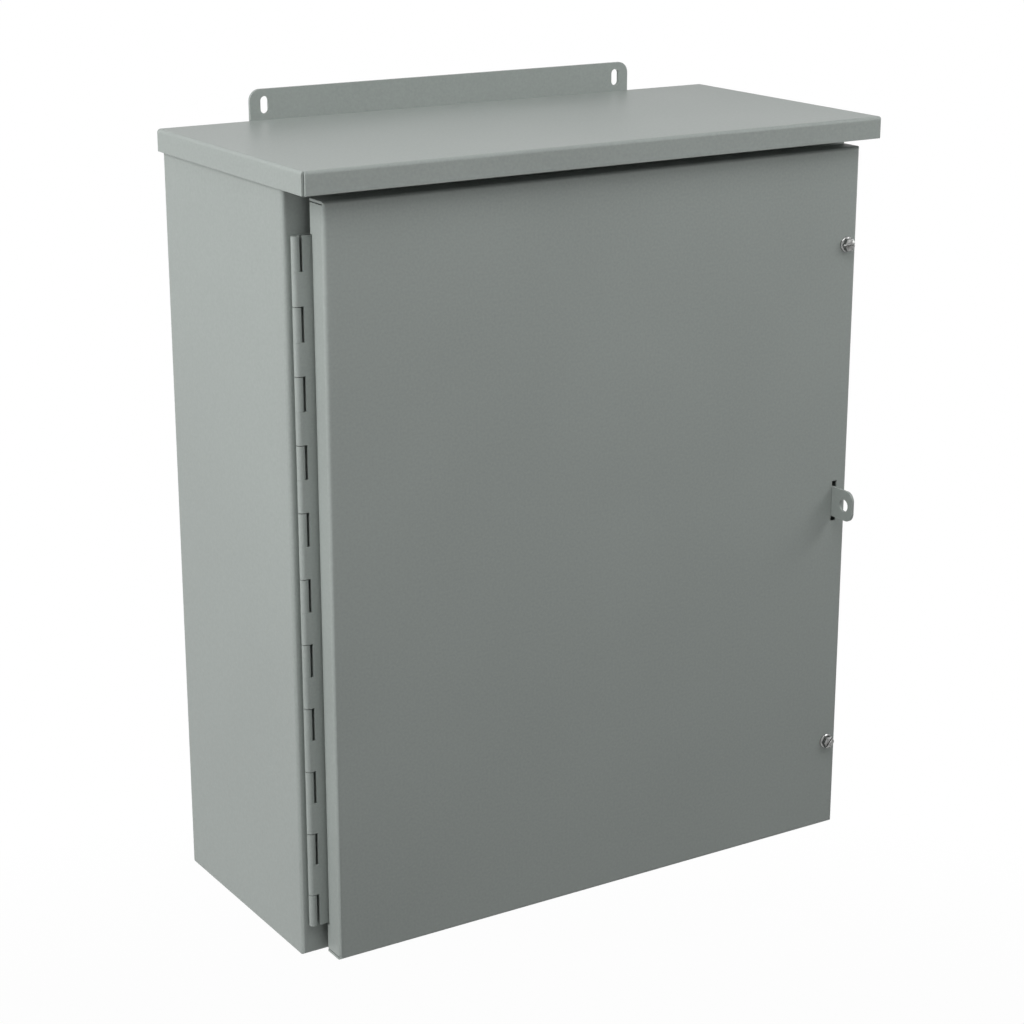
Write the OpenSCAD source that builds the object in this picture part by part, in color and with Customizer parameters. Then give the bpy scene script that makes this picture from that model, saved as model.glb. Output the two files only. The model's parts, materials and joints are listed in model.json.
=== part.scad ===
// Wall-mounted electrical enclosure: folded sheet box, drip hood and hinged pan door.
// The front faces -Y, the wall is the plane Y = 0 and +Z is up.
// The origin lies on the wall, midway between the two upper mounting slots.

/* [Box] */
// Outside width of the box
body_w = 505.9; // [400:0.1:700]
// Outside height of the box, without hood and strips
body_h = 608.2; // [450:0.1:900]
// Outside depth of the box, from its back to its front flange
body_d = 200.9; // [130:0.1:350]
// Thickness of the box, door and hood sheet
sheet_t = 1.9; // [1.2:0.1:2.6]
// Outside radius of the box and door bends
bend_r = 3.5; // [3:0.1:5]
// Width of the return flange round the front opening
flange_w = 27; // [25:0.5:45]
// Diameter of the drain holes in the bottom
drain_d = 6.4; // [4:0.1:10]
// Distance of the drain holes from the sides and the front of the box
drain_inset = 45; // [20:1:60]

/* [Drip hood] */
// How far each side flange stands out from the box
hood_side = 3.6; // [3:0.1:12]
// How far the front flange stands out from the box
hood_front = 39.3; // [34:0.1:70]
// Height of the drip flanges, from the top of the hood
hood_drop = 17.2; // [12:0.1:30]
// Outside radius of the hood bends
hood_bend_r = 2.8; // [2.7:0.1:5]
// Clear gap between the flange ends at the open corners
hood_corner_gap = 0.2; // [0.1:0.1:1]

/* [Mounting strips] */
// Length of each strip across the box
strip_w = 355.6; // [200:0.1:390]
// Thickness of the strips
strip_t = 2.7; // [1.2:0.1:4]
// Corner radius of the strips
strip_corner_r = 9; // [3:0.5:12]
// Height that each strip overlaps the back of the box
strip_lap = 40; // [20:1:80]
// Width of the mounting slots
slot_w = 7.1; // [5:0.1:10]
// End-to-end length of the mounting slots
slot_l = 13.6; // [10.5:0.1:18]
// Distance of the slot centres from the strip's ends
slot_end = 12.7; // [9:0.1:30]
// Distance of the slot centres from the strip's outer edge
slot_edge = 12.4; // [11:0.1:20]
// Height of the slot centres above the hood
slot_rise = 11.6; // [10:0.1:25]

/* [Door] */
// Distance of the door from the side of the box at the hinge
door_hinge_margin = 18.2; // [16:0.1:22]
// Distance of the door from the side of the box at the screws
door_free_margin = 6.7; // [3:0.1:8]
// Distance of the door from the bottom of the box
door_bottom_margin = 1.9; // [0:0.1:12]
// Gap between the door's top and the hood's front flange
door_top_gap = 7.4; // [2:0.1:20]
// Depth of the door pan
door_depth = 19.7; // [15:0.1:26]
// Width of the lip that carries the hinge leaf
door_lip = 18; // [14:0.5:26]
// Length of the lip beyond each end of the hinge
door_lip_over = 1; // [0:0.5:10]
// Open seam between neighbouring door flanges
door_seam = 0.8; // [0.4:0.1:1.5]

/* [Continuous hinge] */
// Diameter of the hinge pin
pin_d = 3.2; // [2.5:0.1:4]
// Thickness of the hinge leaves
leaf_t = 1.5; // [1:0.1:2]
// Length of one knuckle
knuckle_l = 25.4; // [15:0.1:40]
// Distance of the pin from the side of the box
pin_inset = 7.6; // [6:0.1:8]
// Width of the door leaf, from the pin to its far edge
door_leaf_w = 24; // [18:0.5:26]
// Door height left free at each end of the hinge, at the least
hinge_end_room = 20; // [5:1:60]
// Distance of the hinge's middle below the door's middle
hinge_drop = 1.2; // [0:0.1:10]
// Distance of the body leaf's far edge from the edge of the front opening
body_leaf_margin = 2.2; // [0.5:0.1:5]
// Distance between a knuckle and the notched leaf beside it
notch_room = 1; // [0.5:0.05:1.2]
// Open seam where the end of each rolled knuckle meets its leaf
curl_gap = 0.4; // [0.2:0.05:0.8]
// Open joint under each door knuckle
knuckle_gap = 0.6; // [0.2:0.05:1]
// Clearance over each door knuckle
knuckle_top_gap = 0.1; // [0.05:0.05:0.5]
// Distance between the knuckles and the front of the box
barrel_gap = 0.3; // [0.2:0.05:1]
// Running clearance of the pin in the knuckles, on the radius
pin_clearance = 0.05; // [0.02:0.01:0.1]

/* [Padlock staple] */
// Thickness of the staple
staple_t = 2.3; // [1.2:0.1:2.5]
// Height of the staple
staple_h = 25.4; // [20:0.1:34]
// How far the staple stands out in front of the door
staple_reach = 25.9; // [18:0.1:34]
// Diameter of the padlock hole
staple_hole_d = 10.3; // [7:0.1:12]
// Distance of the padlock hole's centre from the tip
staple_tip = 10.6; // [9:0.1:14]
// Corner radius at the tip
staple_corner_r = 8; // [2:0.5:9]
// Outside radius of the staple's bend
staple_bend_r = 3.2; // [3:0.1:5]
// Distance of the staple's inner face from the side of the box
staple_inset = 21.7; // [19:0.1:23]
// Width of the foot welded to the front flange
staple_foot = 13; // [8:0.5:14]
// Clearance beside the staple in the door's slot
staple_side_gap = 0.3; // [0.2:0.1:1]
// Clearance above and below the staple in the door's slot
staple_end_gap = 4.6; // [1:0.1:10]

/* [Door screws] */
// Diameter of the screw shank
screw_d = 6.1; // [4.5:0.1:7]
// Distance of the screws from the door's free edge
screw_inset = 10.6; // [8:0.1:12]
// Distance of the screws from the door's top and bottom
screw_end = 77.3; // [40:0.1:120]
// Diameter of the flange under the hex head
screw_flange_d = 12.4; // [11:0.1:14]
// Thickness of the flange under the hex head
screw_flange_t = 1.3; // [0.8:0.1:2]
// Width of the hex head across its flats
screw_hex = 9.4; // [7:0.1:10.5]
// Height of the hex head above its flange
screw_hex_h = 3.9; // [3:0.1:6]
// Width of the driver slot
drive_slot_w = 1.5; // [1:0.1:2.5]
// Depth of the driver slot
drive_slot_depth = 1.9; // [1:0.1:2.8]
// Turn of the lower screw's driver slot
lower_slot_turn = 50; // [0:1:180]
// Chamfer at the screw's tip
screw_chamfer = 0.8; // [0.3:0.1:1.2]
// Thread pitch
thread_pitch = 1.27; // [0.8:0.01:1.6]
// Turns that free a screw from its nut
screw_turns = 6; // [4:1:7]
// Clearance of the screw in the door and flange holes, on the radius
screw_hole_room = 0.6; // [0.3:0.1:1]
// Diameter of the screw's neck under its retainer
neck_d = 4.6; // [3.5:0.1:5]
// Thickness of the retainer
retainer_t = 1.2; // [0.8:0.1:2]
// Outside diameter of the retainer
retainer_d = 11; // [9:0.1:13]
// Width of the retainer's open mouth
retainer_mouth = 3.4; // [2:0.1:3.5]
// Clearance of the retainer on the neck
retainer_gap = 0.08; // [0.03:0.01:0.1]
// Width of the flange nuts across their flats
nut_af = 11.1; // [10:0.1:12.5]
// Thickness of the flange nuts
nut_t = 5.6; // [4:0.1:8]
// Clearance of the screw in the nut, on the radius
nut_room = 0.4; // [0.35:0.05:0.6]
// Length of screw that stands out behind its nut
screw_over = 1.6; // [0.5:0.1:4]

/* [Studs] */
// Diameter of the weld studs
stud_d = 6.3; // [4:0.1:8]
// Chamfer at the end of the studs
stud_chamfer = 0.8; // [0.3:0.1:1.2]
// Length of the studs that carry an inner panel
panel_stud_l = 16; // [10:0.5:30]
// Distance of the panel studs from the sides of the box
panel_stud_side = 48; // [30:0.1:80]
// Distance of the panel studs from the top and bottom of the box
panel_stud_end = 50; // [30:0.1:80]
// Length of the earth studs
earth_stud_l = 14; // [12:0.5:16]
// Distance of the box's earth stud from the hinge side of the box
earth_side = 90; // [70:1:140]
// Distance of the box's earth stud from the bottom of the box
earth_rise = 40; // [25:1:120]
// Distance of the door's earth stud from the door's hinge edge
bond_side = 50; // [45:1:120]
// Distance of the door's earth stud from the door's bottom
bond_rise = 50; // [45:1:120]
// Thickness of the earth nuts
earth_nut_t = 5; // [3:0.1:6]
// Width of the earth nuts across their flats
earth_nut_af = 10; // [9:0.1:14]
// Thickness of the lock washers
lock_washer_t = 1.6; // [0.8:0.1:2.5]
// Outside diameter of the lock washers
lock_washer_d = 11.6; // [10:0.1:16]
// Width of the lock washers' split
lock_washer_split = 0.8; // [0.4:0.1:2]
// Clearance of nuts and washers on their studs, on the radius
stud_gap = 0.1; // [0.05:0.05:0.3]

/* [Hidden] */
$fn = 48;
eps = 0.01;
past = 1;
hex_chamfer = 30;
paint = [0.60, 0.63, 0.60];
zinc = [0.78, 0.78, 0.76];

// Planes of the box
body_l = -body_w / 2;
body_r = body_w / 2;
back_y = -strip_t;
front_y = back_y - body_d;
hood_top = -slot_rise;
body_top = hood_top - sheet_t;
body_bot = body_top - body_h;
body_mid = (body_top + body_bot) / 2;
inner_r = bend_r - sheet_t;

// Planes of the hood
hood_l = body_l - hood_side;
hood_r = body_r + hood_side;
hood_f = front_y - hood_front;
hood_bot = hood_top - hood_drop;

// Hinge line
pin_r = pin_d / 2;
barrel_r = pin_r + pin_clearance + leaf_t;
pin_x = body_l + pin_inset;
pin_y = front_y - barrel_gap - barrel_r;

// Planes of the door: its lip lies on the front of the door leaf
door_l = body_l + door_hinge_margin;
door_r = body_r - door_free_margin;
door_b = body_bot + door_bottom_margin;
door_t = hood_bot - door_top_gap;
door_rear = pin_y - barrel_r;
door_front = door_rear - door_depth;
door_inner = door_front + sheet_t;
door_mid = (door_t + door_b) / 2;

// Run of the hinge: an odd count of knuckles, with fixed ones at both ends
knuckle_pairs = floor((door_t - door_b - 2 * hinge_end_room - knuckle_l) / (2 * knuckle_l));
knuckle_n = 2 * knuckle_pairs + 1;
hinge_h = knuckle_n * knuckle_l;
hinge_b = door_mid - hinge_drop - hinge_h / 2;
body_leaf_edge = body_l + flange_w - body_leaf_margin;

// Staple and its slot, which is wider where the opening door swings past the tip
staple_x = body_r - staple_inset;
staple_y = door_front - staple_reach;
staple_out = door_inner - staple_y;
staple_swing = staple_out * (staple_out / 2 + pin_y - door_inner) / (staple_x - pin_x);
staple_slot_w = staple_t + 2 * staple_side_gap + staple_swing;
staple_slot_h = staple_h + 2 * staple_end_gap;

// Screws
screw_x = door_r - screw_inset;
upper_screw_z = door_t - screw_end;
lower_screw_z = door_b + screw_end;
screw_r = screw_d / 2;
screw_travel = screw_turns * thread_pitch;
nut_y = front_y + sheet_t;
screw_tip_y = nut_y + nut_t + screw_over;
retainer_y = door_inner + screw_travel + retainer_gap;

// Inside faces that carry the studs
back_inner = back_y - sheet_t;

// Lay a shape that was drawn along Z along +Y, from a point
module along_y(x, y, z) {
  translate([x, y, z]) rotate([-90, 0, 0]) children();
}

// Extrude an outline drawn in X and Z along Y
module prism_y(y0, y1) {
  translate([0, y1, 0]) rotate([90, 0, 0]) linear_extrude(y1 - y0) children();
}

// Extrude an outline drawn in Y and Z along X
module prism_x(x0, x1) {
  translate([x0, 0, 0]) rotate([90, 0, 90]) linear_extrude(x1 - x0) children();
}

// Extrude an outline drawn in X and Y along Z
module prism_z(z0, z1) {
  translate([0, 0, z0]) linear_extrude(z1 - z0) children();
}

// Box between two corners
module block(from, to) {
  translate(from) cube(to - from);
}

// Rectangle between two corners, rounded by r
module round_rect(from, to, r) {
  size = to - from;
  translate(from + [r, 0]) square([size.x - 2 * r, size.y]);
  translate(from + [0, r]) square([size.x, size.y - 2 * r]);
  for (x = [from.x + r, to.x - r], y = [from.y + r, to.y - r]) translate([x, y]) circle(r);
}

// Slot of two round ends, centred, with its length along Z and drilled along Y
module upright_slot(x, z, y0, y1) {
  reach = (slot_l - slot_w) / 2;
  for (dz = [-reach, reach]) along_y(x, y0, z + dz) cylinder(d = slot_w, h = y1 - y0);
  block([x - slot_w / 2, y0, z - reach], [x + slot_w / 2, y1, z + reach]);
}

// Block with bends on its upright and crosswise edges, set in by t
module bent_box(t) {
  from = [body_l + t, front_y + t, body_bot + t];
  to = [body_r - t, back_y - t, body_top - t];
  intersection() {
    prism_z(from.z, to.z) round_rect([from.x, from.y], [to.x, to.y], bend_r - t);
    prism_x(from.x, to.x) round_rect([from.y, from.z], [to.y, to.z], bend_r - t);
  }
}

module enclosure_body() {
  color(paint) difference() {
    bent_box(0);
    bent_box(sheet_t);
    block([body_l + flange_w, front_y - past, body_bot + flange_w],
      [body_r - flange_w, front_y + sheet_t + past, body_top - flange_w]);
    for (z = [upper_screw_z, lower_screw_z])
      along_y(screw_x, front_y - past, z) cylinder(r = screw_r + screw_hole_room, h = sheet_t + 2 * past);
    for (x = [body_l + drain_inset, body_r - drain_inset])
      translate([x, front_y + drain_inset, body_bot - past]) cylinder(d = drain_d, h = sheet_t + 2 * past);
  }
}

// Block of the hood with bends along its front and side edges, set in by t
module hood_block(t) {
  below = hood_bot - 2 * hood_bend_r;
  behind = back_y + 2 * hood_bend_r;
  intersection() {
    prism_y(hood_f + t, behind)
      round_rect([hood_l + t, below], [hood_r - t, hood_top - t], hood_bend_r - t);
    prism_x(hood_l + t, hood_r - t)
      round_rect([hood_f + t, below], [behind + hood_bend_r, hood_top - t], hood_bend_r - t);
  }
}

module drip_hood() {
  corner = sheet_t + hood_corner_gap;
  color(paint) difference() {
    intersection() {
      hood_block(0);
      block([hood_l, hood_f, hood_bot], [hood_r, back_y, hood_top]);
    }
    hood_block(sheet_t);
    for (x = [hood_l - past, hood_r - corner])
      block([x, hood_f - past, hood_bot - past], [x + corner + past, hood_f + corner, hood_top + past]);
  }
}

// Upper strip: it laps the back of the box and stands up behind the hood
module mounting_strip() {
  low = body_top - strip_lap;
  slot_x = strip_w / 2 - slot_end;
  color(paint) difference() {
    prism_y(back_y, 0) round_rect([-strip_w / 2, low], [strip_w / 2, slot_edge], strip_corner_r);
    for (x = [-slot_x, slot_x]) upright_slot(x, 0, back_y - past, past);
  }
}

module upper_mounting_strip() {
  mounting_strip();
}

module lower_mounting_strip() {
  translate([0, 0, 2 * body_mid]) mirror([0, 0, 1]) mounting_strip();
}

// Outline of the door seen from above
module door_outline() {
  intersection() {
    round_rect([door_l, door_front], [door_r, door_rear + 2 * bend_r], bend_r);
    translate([door_l, door_front]) square([door_r - door_l, door_depth]);
  }
}

// Corner seen from above that the bend into the lip leaves free
module lip_bend_corner() {
  difference() {
    translate([door_l - past, door_rear - bend_r]) square([bend_r + past, bend_r + past]);
    translate([door_l + bend_r, door_rear - bend_r]) circle(bend_r);
  }
}

// Hollow of the door seen from above: closed by the lip, open beside it
module door_hollow() {
  round_rect([door_l + sheet_t, door_inner], [door_r - sheet_t, door_rear - sheet_t], inner_r);
  translate([door_l + door_lip, door_inner + bend_r])
    square([door_r - sheet_t - door_l - door_lip, door_depth]);
}

// Section of the door seen from the side, set in by t
module door_section(t) {
  round_rect([door_front + t, door_b + t], [door_rear + 2 * bend_r, door_t - t], bend_r - t);
}

module door() {
  slot_from = [staple_x - staple_side_gap, door_front - past, door_mid - staple_slot_h / 2];
  lip_b = hinge_b - door_lip_over;
  lip_t = hinge_b + hinge_h + door_lip_over;
  color(paint) difference() {
    intersection() {
      prism_z(door_b, door_t) door_outline();
      prism_x(door_l, door_r) door_section(0);
    }
    intersection() {
      prism_z(door_b, door_t) door_hollow();
      prism_x(door_l, door_r) door_section(sheet_t);
    }
    prism_z(lip_b, lip_t) lip_bend_corner();
    for (ends = [[door_b + sheet_t, lip_b], [lip_t, door_t - sheet_t]])
      block([door_l + sheet_t, door_rear - bend_r, ends[0]],
        [door_l + door_lip + past, door_rear + past, ends[1]]);
    for (x = [door_l - past, door_r - bend_r], z = [door_b + sheet_t, door_t - sheet_t - door_seam])
      block([x, door_inner, z], [x + bend_r + past, door_rear + past, z + door_seam]);
    translate(slot_from) cube([staple_slot_w, sheet_t + 2 * past, staple_slot_h]);
    for (z = [upper_screw_z, lower_screw_z])
      along_y(screw_x, door_front - past, z) cylinder(r = screw_r + screw_hole_room, h = sheet_t + 2 * past);
  }
}

// Heights of one knuckle, fixed ones whole and door ones eased at both ends
function knuckle_low(i) = hinge_b + i * knuckle_l + (i % 2 == 0 ? 0 : knuckle_gap);
function knuckle_high(i) = hinge_b + (i + 1) * knuckle_l - (i % 2 == 0 ? 0 : knuckle_top_gap);

// Leaf with every second knuckle rolled round the pin, notched beside the other leaf's knuckles.
// seam_y is the side of the rolled end's open seam that lies nearest the front.
module hinge_leaf(first, far_x, leaf_y, seam_y) {
  notch_x = pin_x + barrel_r + notch_room;
  difference() {
    union() {
      block([notch_x, leaf_y, hinge_b], [far_x, leaf_y + leaf_t, hinge_b + hinge_h]);
      for (i = [first : 2 : knuckle_n - 1]) {
        low = knuckle_low(i);
        high = knuckle_high(i);
        translate([pin_x, pin_y, low]) cylinder(r = barrel_r, h = high - low);
        block([pin_x, leaf_y, low], [notch_x + eps, leaf_y + leaf_t, high]);
      }
    }
    translate([pin_x, pin_y, hinge_b - past]) cylinder(r = pin_r + pin_clearance, h = hinge_h + 2 * past);
    block([pin_x + pin_r / 2, seam_y, hinge_b - past],
      [notch_x, seam_y + curl_gap, hinge_b + hinge_h + past]);
  }
}

module hinge_body_leaf() {
  leaf_y = front_y - leaf_t;
  color(paint) hinge_leaf(0, body_leaf_edge, leaf_y, leaf_y - curl_gap);
}

module hinge_door_leaf() {
  color(paint) hinge_leaf(1, pin_x + door_leaf_w, door_rear, door_rear + leaf_t);
}

module hinge_pin() {
  color(zinc) translate([pin_x, pin_y, hinge_b]) cylinder(r = pin_r, h = hinge_h);
}

// Staple seen from above: tab, bend and foot
module staple_profile() {
  corner = [staple_x + staple_bend_r, front_y - staple_bend_r];
  translate([staple_x, staple_y]) square([staple_t, corner.y - staple_y]);
  translate([corner.x, front_y - staple_t]) square([staple_foot - staple_bend_r, staple_t]);
  intersection() {
    difference() {
      translate(corner) circle(staple_bend_r);
      translate(corner) circle(staple_bend_r - staple_t);
    }
    translate([staple_x, corner.y]) square(staple_bend_r);
  }
}

module hasp_staple() {
  low = door_mid - staple_h / 2;
  color(paint) difference() {
    intersection() {
      prism_z(low, low + staple_h) staple_profile();
      prism_x(staple_x, staple_x + staple_foot)
        round_rect([staple_y, low], [front_y + 2 * staple_corner_r, low + staple_h], staple_corner_r);
    }
    translate([staple_x - past, staple_y + staple_tip, door_mid])
      rotate([0, 90, 0]) cylinder(d = staple_hole_d, h = staple_t + 2 * past);
  }
}

// Hex prism along +Z by its width across flats, chamfered at its outer face
module hex(af, h) {
  intersection() {
    cylinder(d = af / cos(30), h = h, $fn = 6);
    cylinder(r1 = af / 2 + h / tan(hex_chamfer), r2 = af / 2, h = h);
  }
}

// Nut along +Z on the origin
module hex_nut(af, h, bore_r) {
  difference() {
    hex(af, h);
    translate([0, 0, -past]) cylinder(r = bore_r, h = h + 2 * past);
  }
}

module flange_nut(z) {
  color(zinc) along_y(screw_x, nut_y, z) hex_nut(nut_af, nut_t, screw_r + nut_room);
}

module upper_flange_nut() {
  flange_nut(upper_screw_z);
}

module lower_flange_nut() {
  flange_nut(lower_screw_z);
}

// Screw with its head in front of the door, drawn along Z with the seat at 0
module screw_shape(slot_turn) {
  length = screw_tip_y - door_front;
  neck_z = retainer_y - door_front - retainer_gap;
  head_h = screw_flange_t + screw_hex_h;
  difference() {
    union() {
      translate([0, 0, -screw_flange_t]) cylinder(d = screw_flange_d, h = screw_flange_t);
      mirror([0, 0, 1]) hex(screw_hex, head_h);
      cylinder(r = screw_r, h = length - screw_chamfer);
      translate([0, 0, length - screw_chamfer])
        cylinder(r1 = screw_r, r2 = screw_r - screw_chamfer, h = screw_chamfer);
    }
    translate([0, 0, neck_z]) difference() {
      cylinder(r = screw_r + past, h = retainer_t + 2 * retainer_gap);
      cylinder(d = neck_d, h = retainer_t + 2 * retainer_gap);
    }
    rotate(slot_turn) translate([-screw_hex, -drive_slot_w / 2, -head_h - past])
      cube([2 * screw_hex, drive_slot_w, drive_slot_depth + past]);
  }
}

module upper_door_screw() {
  color(zinc) along_y(screw_x, door_front, upper_screw_z) screw_shape(0);
}

module lower_door_screw() {
  color(zinc) along_y(screw_x, door_front, lower_screw_z) screw_shape(-lower_slot_turn);
}

// Open ring that snaps into the screw's neck
module retainer(z) {
  bore = neck_d + 2 * retainer_gap;
  color(zinc) along_y(screw_x, retainer_y, z) difference() {
    cylinder(d = retainer_d, h = retainer_t);
    translate([0, 0, -past]) cylinder(d = bore, h = retainer_t + 2 * past);
    translate([-retainer_mouth / 2, 0, -past]) cube([retainer_mouth, retainer_d, retainer_t + 2 * past]);
  }
}

module upper_screw_retainer() {
  retainer(upper_screw_z);
}

module lower_screw_retainer() {
  retainer(lower_screw_z);
}

// Weld stud along +Z with a chamfered end
module stud(length) {
  cylinder(d = stud_d, h = length - stud_chamfer);
  translate([0, 0, length - stud_chamfer])
    cylinder(d1 = stud_d, d2 = stud_d - 2 * stud_chamfer, h = stud_chamfer);
}

// Split lock washer along +Z
module lock_washer() {
  difference() {
    cylinder(d = lock_washer_d, h = lock_washer_t);
    translate([0, 0, -past]) cylinder(r = stud_d / 2 + stud_gap, h = lock_washer_t + 2 * past);
    translate([0, -lock_washer_split / 2, -past])
      cube([lock_washer_d, lock_washer_split, lock_washer_t + 2 * past]);
  }
}

// Earth nut on its lock washer
module earth_nut() {
  translate([0, 0, lock_washer_t]) hex_nut(earth_nut_af, earth_nut_t, stud_d / 2 + stud_gap);
}

// Place an earth fastener on the inside of the back, pointing to the front
module on_back(x, z) {
  translate([x, back_inner, z]) rotate([90, 0, 0]) children();
}

module panel_studs() {
  color(zinc)
    for (x = [body_l + panel_stud_side, body_r - panel_stud_side])
      for (z = [body_bot + panel_stud_end, body_top - panel_stud_end])
        on_back(x, z) stud(panel_stud_l);
}

module at_ground() {
  on_back(body_l + earth_side, body_bot + earth_rise) children();
}

module ground_stud() {
  color(zinc) at_ground() stud(earth_stud_l);
}

module ground_lock_washer() {
  color(zinc) at_ground() lock_washer();
}

module ground_nut() {
  color(zinc) at_ground() earth_nut();
}

module at_bond() {
  along_y(door_l + bond_side, door_inner, door_b + bond_rise) children();
}

module door_bond_stud() {
  color(zinc) at_bond() stud(earth_stud_l);
}

module door_bond_lock_washer() {
  color(zinc) at_bond() lock_washer();
}

module door_bond_nut() {
  color(zinc) at_bond() earth_nut();
}

enclosure_body();
drip_hood();
upper_mounting_strip();
lower_mounting_strip();
hinge_body_leaf();
hinge_pin();
hasp_staple();
upper_flange_nut();
lower_flange_nut();
panel_studs();
ground_stud();
ground_lock_washer();
ground_nut();
door();
hinge_door_leaf();
door_bond_stud();
door_bond_lock_washer();
door_bond_nut();
upper_screw_retainer();
upper_door_screw();
lower_screw_retainer();
lower_door_screw();
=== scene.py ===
"""Finish of a hinged wall enclosure: powder coat, zinc hardware with cut threads and a white studio."""

import json
import math

import bmesh
import bpy
from bpy.props import FloatProperty, FloatVectorProperty, IntProperty, PointerProperty
from mathutils import Matrix, Vector

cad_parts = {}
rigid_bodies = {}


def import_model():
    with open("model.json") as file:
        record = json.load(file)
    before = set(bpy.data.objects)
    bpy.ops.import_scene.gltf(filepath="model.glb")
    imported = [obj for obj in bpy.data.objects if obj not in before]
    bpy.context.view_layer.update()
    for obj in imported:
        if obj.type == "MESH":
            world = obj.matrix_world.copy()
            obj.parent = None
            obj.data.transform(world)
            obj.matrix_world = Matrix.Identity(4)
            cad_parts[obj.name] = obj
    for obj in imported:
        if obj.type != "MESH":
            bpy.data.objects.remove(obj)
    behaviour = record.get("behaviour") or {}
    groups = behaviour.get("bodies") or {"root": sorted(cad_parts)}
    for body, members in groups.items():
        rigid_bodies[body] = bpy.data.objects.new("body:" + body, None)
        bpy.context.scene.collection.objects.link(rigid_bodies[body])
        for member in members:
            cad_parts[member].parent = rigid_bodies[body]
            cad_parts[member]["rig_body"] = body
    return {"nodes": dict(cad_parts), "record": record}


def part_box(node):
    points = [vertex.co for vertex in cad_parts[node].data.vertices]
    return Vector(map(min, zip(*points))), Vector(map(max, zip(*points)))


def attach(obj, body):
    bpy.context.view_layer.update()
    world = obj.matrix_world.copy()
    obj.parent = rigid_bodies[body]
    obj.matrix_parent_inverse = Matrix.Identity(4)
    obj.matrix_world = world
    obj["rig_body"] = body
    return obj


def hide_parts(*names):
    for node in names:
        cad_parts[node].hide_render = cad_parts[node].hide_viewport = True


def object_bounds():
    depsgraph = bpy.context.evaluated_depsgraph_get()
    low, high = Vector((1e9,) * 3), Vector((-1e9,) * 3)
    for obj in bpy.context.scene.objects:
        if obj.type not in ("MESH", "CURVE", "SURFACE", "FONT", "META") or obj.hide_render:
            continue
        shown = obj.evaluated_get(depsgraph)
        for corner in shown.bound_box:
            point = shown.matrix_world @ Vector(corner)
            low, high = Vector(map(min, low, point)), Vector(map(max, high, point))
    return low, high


bl_info = {
    "name": "Wall Enclosure Finish",
    "version": (1, 0, 0),
    "blender": (4, 5, 0),
    "location": "3D View > Sidebar > Enclosure",
    "description": "Powder coat, cut threads and a white studio for a hinged wall enclosure",
    "category": "Object",
}

COAT_SLOT = "grey_powder_coat"
ZINC_SLOT = "zinc_plate"
MM = 0.001
WHITE = (1.0, 1.0, 1.0, 1.0)

# Meshes: reach of a weld, angles between faces, facets of a rounding and of a head, pull of large faces
WELD_REACH = 0.002 * MM
FLAT_ANGLE = math.radians(0.5)
SMOOTH_ANGLE = math.radians(38)
SHARP_ANGLE = math.radians(40)
ROUNDING_STEPS = 2
HEAD_STEPS = 64
FACE_WEIGHT = 80

# Noises: the band that carries the change, octaves of detail, and the speckle's share of the coat's tone
NOISE_LOW = 0.3
NOISE_HIGH = 0.7
DRIFT_DETAIL = 2.0
SPECKLE_DETAIL = 1.0
PEEL_DETAIL = 2.0
CLOUD_DETAIL = 3.0
GRAIN_DETAIL = 2.0
SPECKLE_SHARE = 0.5

# Studio: place, width and height of each lamp in metres, floor and camera sensor
LAMPS = {
    "high_left": ((-1.6, -0.1, 0.7), 1.2, 1.0),
    "left": ((-1.9, -0.1, -0.2), 1.4, 1.4),
    "overhead": ((-0.3, -1.0, 1.2), 1.4, 1.0),
    "door": ((0.9, -0.75, 0.35), 0.8, 0.4),
    "front": ((0.2, -2.6, -0.2), 1.4, 1.4),
    "rear": ((1.2, 1.8, -0.9), 1.4, 0.8),
}
FLOOR_SIZE = 8.0
PAPER_TONE = (0.7, 0.7, 0.7, 1.0)
SENSOR_WIDTH = 36.0

for leftover in list(bpy.data.objects):
    bpy.data.objects.remove(leftover)
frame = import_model()
CAD_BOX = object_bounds()
THREAD_PITCH = 2 * math.pi / frame["record"]["behaviour"]["couplings"][0]["ratio"]


# Settings that a user would change


class PowderCoatSettings(bpy.types.PropertyGroup):
    """Look of the painted sheets"""

    colour: FloatVectorProperty(
        name="Colour", description="Middle tone of the coat", subtype="COLOR", size=4,
        min=0.0, max=1.0, default=(0.322, 0.352, 0.336, 1.0))
    tone_spread: FloatProperty(
        name="Tone Spread", description="Share by which the tone drifts to both sides", subtype="FACTOR",
        min=0.0, max=0.2, default=0.07)
    drift_size: FloatProperty(
        name="Drift Size", description="Size of the slow changes of tone", unit="LENGTH",
        default=0.22)
    speckle_size: FloatProperty(
        name="Speckle Size", description="Size of the powder's fine speckle", unit="LENGTH",
        default=2.0 * MM)
    roughness_low: FloatProperty(
        name="Smoothest", description="Roughness where the coat flowed best", subtype="FACTOR",
        min=0.0, max=1.0, default=0.36)
    roughness_high: FloatProperty(
        name="Roughest", description="Roughness where the coat is dry", subtype="FACTOR",
        min=0.0, max=1.0, default=0.46)
    gloss: FloatProperty(
        name="Gloss", description="Level of the coat's mirror reflection", subtype="FACTOR",
        min=0.0, max=1.0, default=0.2)
    peel_size: FloatProperty(
        name="Orange Peel Size", description="Size of the lumps of the orange peel", unit="LENGTH",
        default=2.2 * MM)
    peel_depth: FloatProperty(
        name="Orange Peel Depth", description="Height of the lumps of the orange peel", unit="LENGTH",
        default=0.05 * MM)
    edge_radius: FloatProperty(
        name="Edge Radius", description="Widest rounding of the coated sheet edges", unit="LENGTH",
        default=0.15 * MM)


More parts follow.
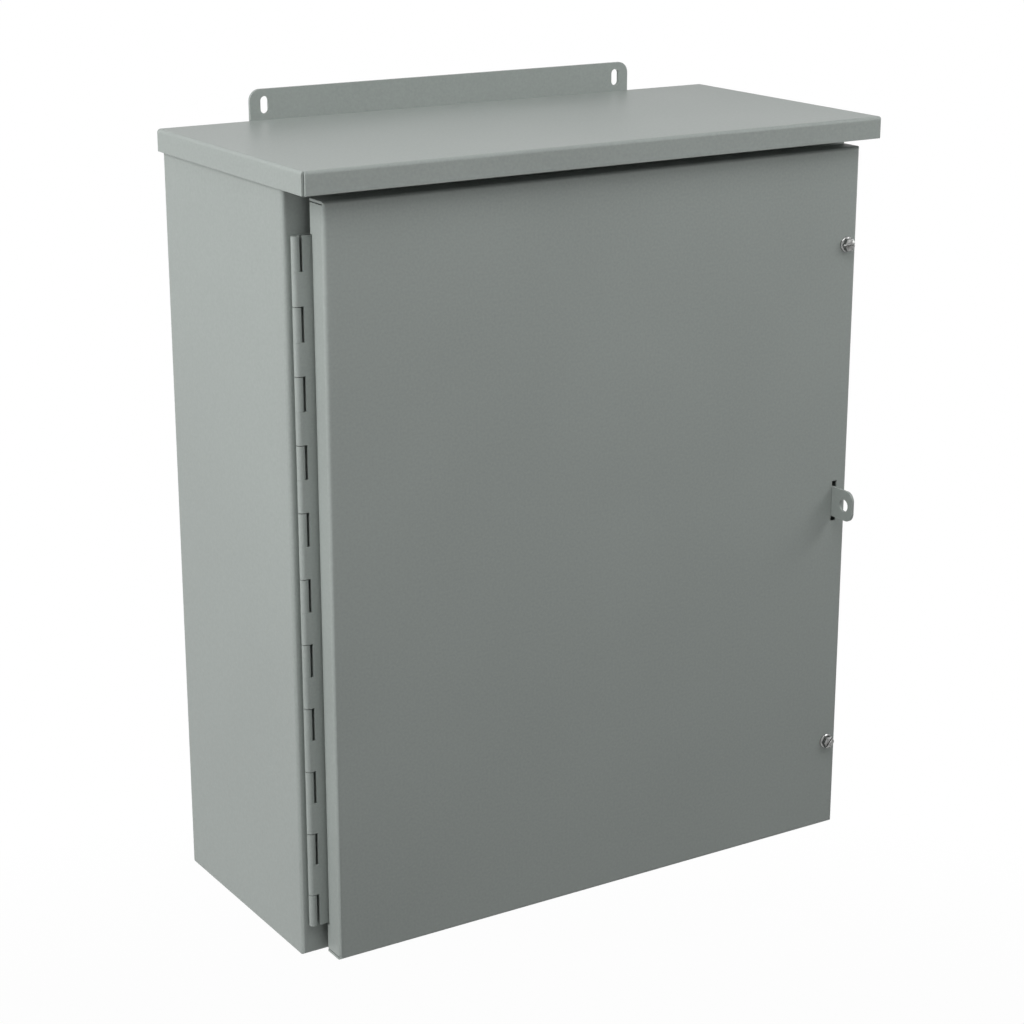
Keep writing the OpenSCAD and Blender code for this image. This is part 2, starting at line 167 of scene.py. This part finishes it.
class ZincPlateSettings(bpy.types.PropertyGroup):
    """Look of the plated hardware"""

    colour: FloatVectorProperty(
        name="Colour", description="Bright tone of the plating", subtype="COLOR", size=4,
        min=0.0, max=1.0, default=(0.34, 0.344, 0.34, 1.0))
    cloud_colour: FloatVectorProperty(
        name="Cloud Colour", description="Dull tone of the passivated clouds", subtype="COLOR", size=4,
        min=0.0, max=1.0, default=(0.12, 0.12, 0.116, 1.0))
    cloud_size: FloatProperty(
        name="Cloud Size", description="Size of the clouds in the plating", unit="LENGTH",
        default=3.0 * MM)
    roughness_low: FloatProperty(
        name="Smoothest", description="Roughness of the bright plating", subtype="FACTOR",
        min=0.0, max=1.0, default=0.12)
    roughness_high: FloatProperty(
        name="Roughest", description="Roughness of the clouds", subtype="FACTOR",
        min=0.0, max=1.0, default=0.3)
    grain_size: FloatProperty(
        name="Grain Size", description="Size of the grain under the plating", unit="LENGTH",
        default=0.35 * MM)
    grain_depth: FloatProperty(
        name="Grain Depth", description="Height of the grain under the plating", unit="LENGTH",
        default=0.004 * MM)
    edge_radius: FloatProperty(
        name="Edge Radius", description="Widest rounding of the hardware's edges", unit="LENGTH",
        default=0.15 * MM)


class ThreadSettings(bpy.types.PropertyGroup):
    """Shape of the threads"""

    pitch: FloatProperty(
        name="Pitch", description="Advance of the thread in one turn", unit="LENGTH",
        default=THREAD_PITCH)
    depth: FloatProperty(
        name="Depth", description="Depth of the thread from crest to root", unit="LENGTH",
        default=0.62 * MM)
    run_out: FloatProperty(
        name="Run-out", description="Length over which a thread ends", unit="LENGTH", default=0.8 * MM)
    steps: IntProperty(
        name="Steps", description="Facets round one turn", min=12, max=96, default=40)
    rows: IntProperty(
        name="Rows", description="Rows of facets in one pitch", min=4, max=16, default=8)


class ScrewSettings(bpy.types.PropertyGroup):
    """Sizes of the slotted hex washer-head door screws"""

    crest_radius: FloatProperty(
        name="Crest Radius", description="Radius over the thread crests", unit="LENGTH",
        default=3.05 * MM)
    neck_radius: FloatProperty(
        name="Neck Radius", description="Radius of the groove for the retainer", unit="LENGTH",
        default=2.3 * MM)
    hex_width: FloatProperty(
        name="Hex Width", description="Width of the head across its flats", unit="LENGTH",
        default=9.4 * MM)
    flange_thickness: FloatProperty(
        name="Flange Thickness", description="Thickness of the flange under the head", unit="LENGTH",
        default=1.3 * MM)
    rim_thickness: FloatProperty(
        name="Rim Thickness", description="Thickness of the flange at its rim", unit="LENGTH",
        default=0.8 * MM)
    slot_width: FloatProperty(
        name="Slot Width", description="Width of the driver slot", unit="LENGTH", default=1.5 * MM)
    slot_depth: FloatProperty(
        name="Slot Depth", description="Depth of the driver slot", unit="LENGTH", default=1.9 * MM)
    hex_chamfer: FloatProperty(
        name="Head Chamfer", description="Slope of the chamfer round the head's face", subtype="ANGLE",
        unit="ROTATION", default=math.radians(30))
    upper_slot_turn: FloatProperty(
        name="Upper Slot Turn", description="Turn of the upper screw's slot", subtype="ANGLE",
        unit="ROTATION", default=0.0)
    lower_slot_turn: FloatProperty(
        name="Lower Slot Turn", description="Turn of the lower screw's slot", subtype="ANGLE",
        unit="ROTATION", default=math.radians(50))


class StudioSettings(bpy.types.PropertyGroup):
    """Camera, lamps and floor"""

    camera_place: FloatVectorProperty(
        name="Camera Place", description="Where the camera stands", subtype="TRANSLATION", unit="LENGTH",
        size=3, default=(-0.99422, -1.68943, 0.24941))
    camera_heading: FloatProperty(
        name="Heading", description="Turn of the view to the right of straight ahead", subtype="ANGLE",
        unit="ROTATION", default=math.radians(32.056))
    camera_drop: FloatProperty(
        name="Drop", description="Slope of the view below the horizon", subtype="ANGLE",
        unit="ROTATION", default=math.radians(17.272))
    focal_length: FloatProperty(
        name="Focal Length", description="Focal length for a sensor 36 mm wide", unit="CAMERA",
        default=83.97)
    high_left_watts: FloatProperty(
        name="High Left Lamp", description="Power of the lamp above the hinge side", unit="POWER",
        default=18.4)
    left_watts: FloatProperty(
        name="Left Lamp", description="Power of the lamp beside the hinge", unit="POWER", default=13.6)
    overhead_watts: FloatProperty(
        name="Overhead Lamp", description="Power of the lamp above the door", unit="POWER", default=13.2)
    door_watts: FloatProperty(
        name="Door Lamp", description="Power of the near lamp that lights the door's upper half",
        unit="POWER", default=4.0)
    front_watts: FloatProperty(
        name="Front Lamp", description="Power of the lamp before the door", unit="POWER", default=7.2)
    rear_watts: FloatProperty(
        name="Rear Lamp", description="Power of the lamp behind the part", unit="POWER", default=16.0)
    ambient: FloatProperty(
        name="Ambient", description="Level of the even light from all round", min=0.0, max=1.0,
        default=0.06)
    floor_drop: FloatProperty(
        name="Floor Drop", description="Distance of the floor below the part", unit="LENGTH",
        default=1.1)
    floor_white: FloatProperty(
        name="Floor White", description="Share of its own white that the floor shows under the part",
        subtype="FACTOR", min=0.0, max=1.0, default=0.9)
    floor_reach: FloatProperty(
        name="Floor Reach", description="Distance at which the floor is all white", unit="LENGTH",
        default=2.6)


# Materials


def add_node(material, kind, **values):
    """A node of that kind, with its input sockets set by name"""
    node = material.node_tree.nodes.new(kind)
    for socket, value in values.items():
        node.inputs[socket.replace("_", " ")].default_value = value
    return node


def join(material, source, target):
    """Link an output socket to an input socket"""
    material.node_tree.links.new(source, target)


def surface(name):
    """An empty material with its principled shader"""
    material = bpy.data.materials.new(name)
    material.use_nodes = True
    material.node_tree.nodes.clear()
    shader = add_node(material, "ShaderNodeBsdfPrincipled")
    output = add_node(material, "ShaderNodeOutputMaterial")
    join(material, shader.outputs["BSDF"], output.inputs["Surface"])
    return material, shader


def noise(material, size, detail):
    """Noise fixed to the object, with lumps of that size"""
    place = add_node(material, "ShaderNodeTexCoord")
    texture = add_node(material, "ShaderNodeTexNoise", Scale=1 / size, Detail=detail)
    join(material, place.outputs["Object"], texture.inputs["Vector"])
    return texture.outputs["Fac"]


def two_tones(material, factor, low, high):
    """Colour that runs from low to high with a noise"""
    ramp = add_node(material, "ShaderNodeValToRGB")
    first, last = ramp.color_ramp.elements
    first.position, last.position = NOISE_LOW, NOISE_HIGH
    first.color, last.color = low, high
    join(material, factor, ramp.inputs["Fac"])
    return ramp.outputs["Color"]


def between(material, factor, low, high):
    """Number that runs from low to high with a noise"""
    span = add_node(
        material, "ShaderNodeMapRange", From_Min=NOISE_LOW, From_Max=NOISE_HIGH, To_Min=low, To_Max=high)
    join(material, factor, span.inputs["Value"])
    return span.outputs["Result"]


def lumps(material, height, depth):
    """Normal of a surface with lumps of that depth"""
    bump = add_node(material, "ShaderNodeBump", Strength=1.0, Distance=depth)
    join(material, height, bump.inputs["Height"])
    return bump.outputs["Normal"]


def shade_of(colour, share):
    """A colour made lighter or darker by a share"""
    return [min(channel * share, 1.0) for channel in colour[:3]] + [1.0]


def powder_coat(settings):
    """Satin powder coat: drifting tone, fine speckle and orange peel"""
    material, shader = surface("powder_coat")
    drift = noise(material, settings.drift_size, DRIFT_DETAIL)
    speckle = noise(material, settings.speckle_size, SPECKLE_DETAIL)
    fine = add_node(material, "ShaderNodeMath")
    fine.operation = "MULTIPLY"
    fine.inputs[1].default_value = SPECKLE_SHARE
    tone = add_node(material, "ShaderNodeMath")
    tone.operation = "MULTIPLY_ADD"
    tone.inputs[1].default_value = 1 - SPECKLE_SHARE
    join(material, speckle, fine.inputs[0])
    join(material, drift, tone.inputs[0])
    join(material, fine.outputs["Value"], tone.inputs[2])
    dark = shade_of(settings.colour, 1 - settings.tone_spread)
    light = shade_of(settings.colour, 1 + settings.tone_spread)
    join(material, two_tones(material, tone.outputs["Value"], dark, light), shader.inputs["Base Color"])
    sheen = between(material, drift, settings.roughness_low, settings.roughness_high)
    join(material, sheen, shader.inputs["Roughness"])
    shader.inputs["Specular IOR Level"].default_value = settings.gloss
    peel = noise(material, settings.peel_size, PEEL_DETAIL)
    join(material, lumps(material, peel, settings.peel_depth), shader.inputs["Normal"])
    return material


def bright_zinc(settings):
    """Bright zinc plate with dull passivated clouds and a fine grain"""
    material, shader = surface("bright_zinc")
    shader.inputs["Metallic"].default_value = 1.0
    clouds = noise(material, settings.cloud_size, CLOUD_DETAIL)
    tones = two_tones(material, clouds, settings.colour, settings.cloud_colour)
    join(material, tones, shader.inputs["Base Color"])
    gloss = between(material, clouds, settings.roughness_low, settings.roughness_high)
    join(material, gloss, shader.inputs["Roughness"])
    grain = noise(material, settings.grain_size, GRAIN_DETAIL)
    join(material, lumps(material, grain, settings.grain_depth), shader.inputs["Normal"])
    return material


def finish_of(name, make, settings):
    """The material of that name, made once"""
    return bpy.data.materials.get(name) or make(settings)


def dress(piece, material):
    """Give a piece one material all over"""
    piece.data.materials.clear()
    piece.data.materials.append(material)


def nodes_of(slot):
    """CAD nodes that the record lists under a material slot"""
    parts = frame["record"]["subparts"]
    return [frame["nodes"][part["node"]] for part in parts if part["material_slot"] == slot]


def round_edges(piece, radius):
    """Close the seams by modifiers and round the sharp edges, as far as the mesh leaves room"""
    weld = piece.modifiers.new("closed_seams", "WELD")
    weld.merge_threshold = WELD_REACH
    flat = piece.modifiers.new("whole_faces", "DECIMATE")
    flat.decimate_type = "DISSOLVE"
    flat.angle_limit = FLAT_ANGLE
    bevel = piece.modifiers.new("edge_rounding", "BEVEL")
    bevel.width = radius
    bevel.segments = ROUNDING_STEPS
    bevel.limit_method = "ANGLE"
    bevel.angle_limit = SHARP_ANGLE
    corners = piece.modifiers.new("clean_corners", "WELD")
    corners.merge_threshold = WELD_REACH
    normals = piece.modifiers.new("flat_faces", "WEIGHTED_NORMAL")
    normals.weight = FACE_WEIGHT


# Threads and screws


def solid(name, bm):
    """An object made from a finished bmesh"""
    mesh = bpy.data.meshes.new(name)
    bm.to_mesh(mesh)
    bm.free()
    piece = bpy.data.objects.new(name, mesh)
    bpy.context.scene.collection.objects.link(piece)
    return piece


def settle(piece):
    """Turn a piece's modifiers into its mesh"""
    bpy.context.view_layer.update()
    graph = bpy.context.evaluated_depsgraph_get()
    shaped = bpy.data.meshes.new_from_object(piece.evaluated_get(graph))
    piece.modifiers.clear()
    piece.data = shaped


def carve(piece, tool, operation):
    """Join a piece with a tool, or cut it by the tool, which is used up"""
    boolean = piece.modifiers.new("carve", "BOOLEAN")
    boolean.operation = operation
    boolean.solver = "EXACT"
    boolean.object = tool
    settle(piece)
    bpy.data.objects.remove(tool)


def add_shell(piece, other):
    """Take another closed shell into a piece's mesh; the other piece is used up"""
    bm = bmesh.new()
    bm.from_mesh(piece.data)
    bm.from_mesh(other.data)
    bm.to_mesh(piece.data)
    bm.free()
    bpy.data.objects.remove(other)


def smooth(piece):
    """Shade smooth, with the sharper edges kept sharp"""
    bm = bmesh.new()
    bm.from_mesh(piece.data)
    for face in bm.faces:
        face.smooth = True
    for edge in bm.edges:
        edge.smooth = edge.calc_face_angle(0.0) < SMOOTH_ANGLE
    bm.to_mesh(piece.data)
    bm.free()


def thread_cut(phase):
    """Share of the thread's depth at a share of its pitch: crest, flank, root and flank"""
    crest, root = 1 / 8, 1 / 4
    flank = (1 - crest - root) / 2
    return min(max((phase - crest) / flank, 0.0), max(min((1 - phase) / flank, 1.0), 0.0), 1.0)


def thread_rod(name, length, crest_radius, thread, limit):
    """Right-hand thread along +Z from the origin, nowhere wider than limit(z)"""
    bm = bmesh.new()
    rows = math.ceil((length / thread.pitch + 1) * thread.rows)
    grid = []
    for row in range(rows + 1):
        cut = thread.depth * thread_cut(row % thread.rows / thread.rows)
        ring = []
        for step in range(thread.steps + 1):
            share = step / thread.steps
            z = min(max((row / thread.rows + share - 1) * thread.pitch, 0.0), length)
            radius = min(crest_radius - cut, limit(z))
            angle = 2 * math.pi * share
            ring.append(bm.verts.new((radius * math.cos(angle), radius * math.sin(angle), z)))
        grid.append(ring)
    for lower, upper in zip(grid, grid[1:]):
        for step in range(thread.steps):
            bm.faces.new((lower[step], lower[step + 1], upper[step + 1], upper[step]))
    bmesh.ops.remove_doubles(bm, verts=bm.verts, dist=WELD_REACH)
    open_edges = [edge for edge in bm.edges if edge.is_boundary]
    bmesh.ops.holes_fill(bm, edges=open_edges, sides=0)
    bmesh.ops.recalc_face_normals(bm, faces=bm.faces)
    return solid(name, bm)


def revolved(name, profile):
    """Profile of (radius, z) points, from axis to axis, turned about Z"""
    bm = bmesh.new()
    points = [bm.verts.new((radius, 0.0, z)) for radius, z in profile]
    edges = [bm.edges.new(pair) for pair in zip(points, points[1:])]
    bmesh.ops.spin(
        bm, geom=points + edges, axis=(0, 0, 1), cent=(0, 0, 0), angle=2 * math.pi, steps=HEAD_STEPS)
    bmesh.ops.remove_doubles(bm, verts=bm.verts, dist=WELD_REACH)
    bmesh.ops.recalc_face_normals(bm, faces=bm.faces)
    return solid(name, bm)


def hex_bar(name, width, bottom, top):
    """Hex prism along Z by its width across flats, with a corner on +X"""
    bm = bmesh.new()
    radius = width / 2 / math.cos(math.pi / 6)
    place = Matrix.Translation((0, 0, (bottom + top) / 2)) @ Matrix.Rotation(math.pi / 2, 4, "Z")
    bmesh.ops.create_cone(
        bm, cap_ends=True, segments=6, radius1=radius, radius2=radius, depth=top - bottom, matrix=place)
    return solid(name, bm)


def block(name, low, high, turn):
    """Box between two corners, turned about Z"""
    bm = bmesh.new()
    low, high = Vector(low), Vector(high)
    place = Matrix.Rotation(turn, 4, "Z") @ Matrix.Translation((low + high) / 2)
    bmesh.ops.create_cube(bm, size=1.0, matrix=place @ Matrix.Diagonal((*(high - low), 1.0)))
    return solid(name, bm)


def screw_head(name, screw, flange_radius, head_height, slot_turn, edge_radius):
    """Slotted hex washer head below Z = 0, with its seat on Z = 0"""
    shoulder = screw.hex_width / 2 / math.cos(math.pi / 6)
    flange = (
        (0.0, 0.0), (flange_radius - edge_radius, 0.0), (flange_radius, -edge_radius),
        (flange_radius, -screw.rim_thickness), (shoulder, -screw.flange_thickness),
        (0.0, -screw.flange_thickness))
    head = revolved(name, flange)
    sunk = screw.flange_thickness / 2
    flare = screw.hex_width / 2 + head_height / math.tan(screw.hex_chamfer)
    stem = hex_bar("stem", screw.hex_width, -head_height, -sunk)
    cone = ((0.0, 0.0), (flare, 0.0), (screw.hex_width / 2, -head_height), (0.0, -head_height))
    carve(stem, revolved("cone", cone), "INTERSECT")
    carve(head, stem, "UNION")
    half = screw.slot_width / 2
    slot_floor = screw.slot_depth - head_height
    reach = screw.hex_width
    slot = block("slot", (-reach, -half, -2 * head_height), (reach, half, slot_floor), slot_turn)
    carve(head, slot, "DIFFERENCE")
    round_edges(head, edge_radius)
    settle(head)
    return head


def door_screw(node, retainer, body, slot_turn, context):
    """Threaded screw that stands for a CAD screw"""
    screw, thread, zinc = context.scene.door_screws, context.scene.threads, context.scene.zinc
    low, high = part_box(node)
    middle = (low + high) / 2
    seat = Vector((middle.x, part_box("door")[0].y, middle.z))
    groove = [corner.y - seat.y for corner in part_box(retainer)]
    length = high.y - seat.y
    root = screw.crest_radius - thread.depth
    sunk = screw.flange_thickness / 2

    def limit(z):
        """Widest radius of the shank: run-out at both ends and the retainer's groove"""
        along = z - sunk
        if groove[0] - zinc.edge_radius < along < groove[1] + zinc.edge_radius:
            return screw.neck_radius
        end = min(z, length + sunk - z)
        return root + end * thread.depth / thread.run_out

    flange_radius = (high.x - low.x) / 2
    head_height = seat.y - low.y
    head = screw_head(node + "_threaded", screw, flange_radius, head_height, -slot_turn, zinc.edge_radius)
    shank = thread_rod("shank", length + sunk, screw.crest_radius, thread, limit)
    shank.data.transform(Matrix.Translation((0, 0, -sunk)))
    add_shell(head, shank)
    smooth(head)
    head.matrix_world = Matrix.Translation(seat) @ Matrix.Rotation(-math.pi / 2, 4, "X")
    dress(head, finish_of("bright_zinc", bright_zinc, zinc))
    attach(head, body)
    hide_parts(node)


def stud_radius():
    """Radius of the weld studs"""
    low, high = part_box("ground_stud")
    return (high.x - low.x) / 2


def stud_rod(name, node, spots, base_at_rear, context):
    """Threaded studs at (x, z) spots that stand for a CAD node"""
    thread, zinc = context.scene.threads, context.scene.zinc
    low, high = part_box(node)
    radius = stud_radius()
    length = high.y - low.y
    root = radius - thread.depth

    def limit(z):
        """Widest radius of the stud: run-out at both ends"""
        return root + min(z, length - z) * thread.depth / thread.run_out

    rod = thread_rod("rod", length, radius, thread, limit)
    base, angle = (high.y, math.pi / 2) if base_at_rear else (low.y, -math.pi / 2)
    bm = bmesh.new()
    for x, z in spots:
        place = Matrix.Translation((x, base, z)) @ Matrix.Rotation(angle, 4, "X")
        before = len(bm.verts)
        bm.from_mesh(rod.data)
        bm.verts.ensure_lookup_table()
        bmesh.ops.transform(bm, matrix=place, verts=bm.verts[before:])
    bpy.data.objects.remove(rod)
    studs = solid(name, bm)
    smooth(studs)
    dress(studs, finish_of("bright_zinc", bright_zinc, zinc))
    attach(studs, frame["nodes"][node]["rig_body"])
    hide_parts(node)


# Studio


def soft_lamp(name, place, aim, width, height, watts):
    """Rectangular lamp that looks at a point and stays out of the picture"""
    light = bpy.data.lights.new(name, "AREA")
    light.shape = "RECTANGLE"
    light.size = width
    light.size_y = height
    light.energy = watts
    lamp = bpy.data.objects.new(name, light)
    bpy.context.scene.collection.objects.link(lamp)
    lamp.location = place
    lamp.rotation_euler = (Vector(aim) - Vector(place)).to_track_quat("-Z", "Y").to_euler()
    lamp.visible_camera = False


def seen_directly(material):
    """One on rays from the camera, from gloss and through glass, and nought on the light's own"""
    path = add_node(material, "ShaderNodeLightPath")
    either = path.outputs["Is Camera Ray"]
    for kind in ("Is Glossy Ray", "Is Transmission Ray"):
        largest = add_node(material, "ShaderNodeMath")
        largest.operation = "MAXIMUM"
        join(material, either, largest.inputs[0])
        join(material, path.outputs[kind], largest.inputs[1])
        either = largest.outputs["Value"]
    return either


def white_world(ambient):
    """White to the eye, and a softer even light on the part"""
    world = bpy.data.worlds.new("white_room")
    world.use_nodes = True
    world.node_tree.nodes.clear()
    lit = add_node(world, "ShaderNodeBackground", Color=WHITE, Strength=ambient)
    seen = add_node(world, "ShaderNodeBackground", Color=WHITE, Strength=1.0)
    mix = add_node(world, "ShaderNodeMixShader")
    output = add_node(world, "ShaderNodeOutputWorld")
    join(world, seen_directly(world), mix.inputs["Fac"])
    join(world, lit.outputs["Background"], mix.inputs[1])
    join(world, seen.outputs["Background"], mix.inputs[2])
    join(world, mix.outputs["Shader"], output.inputs["Surface"])
    bpy.context.scene.world = world


def floor_paper(share, reach):
    """Matt paper that shows its own white, wholly so beyond a reach, with a faint shadow near the part"""
    material = bpy.data.materials.new("floor_paper")
    material.use_nodes = True
    material.node_tree.nodes.clear()
    paper = add_node(material, "ShaderNodeBsdfDiffuse", Color=PAPER_TONE)
    white = add_node(material, "ShaderNodeEmission", Color=WHITE, Strength=1.0)
    place = add_node(material, "ShaderNodeTexCoord")
    distance = add_node(material, "ShaderNodeVectorMath")
    distance.operation = "LENGTH"
    fade = add_node(
        material, "ShaderNodeMapRange", From_Min=0.0, From_Max=reach, To_Min=share, To_Max=1.0)
    part = add_node(material, "ShaderNodeMath")
    part.operation = "MULTIPLY"
    mix = add_node(material, "ShaderNodeMixShader")
    output = add_node(material, "ShaderNodeOutputMaterial")
    join(material, place.outputs["Object"], distance.inputs[0])
    join(material, distance.outputs["Value"], fade.inputs["Value"])
    join(material, fade.outputs["Result"], part.inputs[0])
    join(material, seen_directly(material), part.inputs[1])
    join(material, part.outputs["Value"], mix.inputs["Fac"])
    join(material, paper.outputs["BSDF"], mix.inputs[1])
    join(material, white.outputs["Emission"], mix.inputs[2])
    join(material, mix.outputs["Shader"], output.inputs["Surface"])
    return material


# Operators


class ENCLOSURE_OT_coat_sheets(bpy.types.Operator):
    """Round the edges of the folded sheets, hinge leaves and staple, and powder coat them"""

    bl_idname = "enclosure.coat_sheets"
    bl_label = "Coat the Sheets"

    def execute(self, context):
        settings = context.scene.coat
        for node in nodes_of(COAT_SLOT):
            round_edges(node, settings.edge_radius)
            dress(node, finish_of("powder_coat", powder_coat, settings))
        return {"FINISHED"}


class ENCLOSURE_OT_plate_hardware(bpy.types.Operator):
    """Round the edges of the pin, nuts, washers and other hardware, and zinc plate it"""

    bl_idname = "enclosure.plate_hardware"
    bl_label = "Plate the Hardware"

    def execute(self, context):
        settings = context.scene.zinc
        for node in nodes_of(ZINC_SLOT):
            round_edges(node, settings.edge_radius)
            dress(node, finish_of("bright_zinc", bright_zinc, settings))
        return {"FINISHED"}


class ENCLOSURE_OT_cut_door_screws(bpy.types.Operator):
    """Make the two captive door screws with slotted hex washer heads and real threads"""

    bl_idname = "enclosure.cut_door_screws"
    bl_label = "Cut the Door Screws"

    def execute(self, context):
        screws = context.scene.door_screws
        for which, turn in (("upper", screws.upper_slot_turn), ("lower", screws.lower_slot_turn)):
            door_screw(which + "_door_screw", which + "_screw_retainer", which + "_screw", turn, context)
        return {"FINISHED"}


class ENCLOSURE_OT_cut_studs(bpy.types.Operator):
    """Make the weld studs for the inner panel and the earth points with real threads"""

    bl_idname = "enclosure.cut_studs"
    bl_label = "Cut the Studs"

    def execute(self, context):
        radius = stud_radius()
        low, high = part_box("panel_studs")
        columns = (low.x + radius, high.x - radius)
        rows = (low.z + radius, high.z - radius)
        corners = [(x, z) for x in columns for z in rows]
        stud_rod("panel_studs_threaded", "panel_studs", corners, True, context)
        for node, base_at_rear in (("ground_stud", True), ("door_bond_stud", False)):
            low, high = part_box(node)
            middle = (low + high) / 2
            stud_rod(node + "_threaded", node, [(middle.x, middle.z)], base_at_rear, context)
        return {"FINISHED"}


class ENCLOSURE_OT_set_studio(bpy.types.Operator):
    """Set the white room, the soft lamps, the floor and the camera"""

    bl_idname = "enclosure.set_studio"
    bl_label = "Set the Studio"

    def execute(self, context):
        studio = context.scene.studio
        low, high = CAD_BOX
        middle = (low + high) / 2
        context.scene.view_settings.view_transform = "Standard"
        white_world(studio.ambient)
        for name, (place, width, height) in LAMPS.items():
            soft_lamp(name + "_lamp", place, middle, width, height, getattr(studio, name + "_watts"))

        bm = bmesh.new()
        bmesh.ops.create_grid(bm, x_segments=1, y_segments=1, size=FLOOR_SIZE)
        floor = solid("floor", bm)
        floor.location = (middle.x, middle.y, low.z - studio.floor_drop)
        dress(floor, floor_paper(studio.floor_white, studio.floor_reach))

        data = bpy.data.cameras.new("camera")
        data.sensor_width = SENSOR_WIDTH
        data.lens = studio.focal_length
        camera = bpy.data.objects.new("camera", data)
        context.scene.collection.objects.link(camera)
        camera.location = studio.camera_place
        camera.rotation_euler = (math.pi / 2 - studio.camera_drop, 0.0, -studio.camera_heading)
        context.scene.camera = camera
        return {"FINISHED"}


class ENCLOSURE_PT_finish(bpy.types.Panel):
    """Settings and steps of the enclosure's finish"""

    bl_idname = "ENCLOSURE_PT_finish"
    bl_label = "Enclosure Finish"
    bl_space_type = "VIEW_3D"
    bl_region_type = "UI"
    bl_category = "Enclosure"

    def draw(self, context):
        for step in OPERATORS:
            self.layout.operator(step.bl_idname)
        for name, group in SETTINGS.items():
            box = self.layout.box()
            box.label(text=group.__doc__)
            for prop in group.__annotations__:
                box.prop(getattr(context.scene, name), prop)


SETTINGS = {
    "coat": PowderCoatSettings,
    "zinc": ZincPlateSettings,
    "threads": ThreadSettings,
    "door_screws": ScrewSettings,
    "studio": StudioSettings,
}
OPERATORS = (
    ENCLOSURE_OT_coat_sheets,
    ENCLOSURE_OT_plate_hardware,
    ENCLOSURE_OT_cut_door_screws,
    ENCLOSURE_OT_cut_studs,
    ENCLOSURE_OT_set_studio,
)


def register():
    """Register the classes and hang the settings on the scene"""
    for group in (*SETTINGS.values(), *OPERATORS, ENCLOSURE_PT_finish):
        bpy.utils.register_class(group)
    for name, group in SETTINGS.items():
        setattr(bpy.types.Scene, name, PointerProperty(type=group))


def unregister():
    """Take the settings off the scene and unregister the classes"""
    for name in SETTINGS:
        delattr(bpy.types.Scene, name)
    for group in (ENCLOSURE_PT_finish, *reversed(OPERATORS), *reversed(SETTINGS.values())):
        bpy.utils.unregister_class(group)


def main():
    """Run every step in order"""
    register()
    bpy.ops.enclosure.coat_sheets()
    bpy.ops.enclosure.plate_hardware()
    bpy.ops.enclosure.cut_door_screws()
    bpy.ops.enclosure.cut_studs()
    bpy.ops.enclosure.set_studio()


if __name__ == "__main__":
    main()
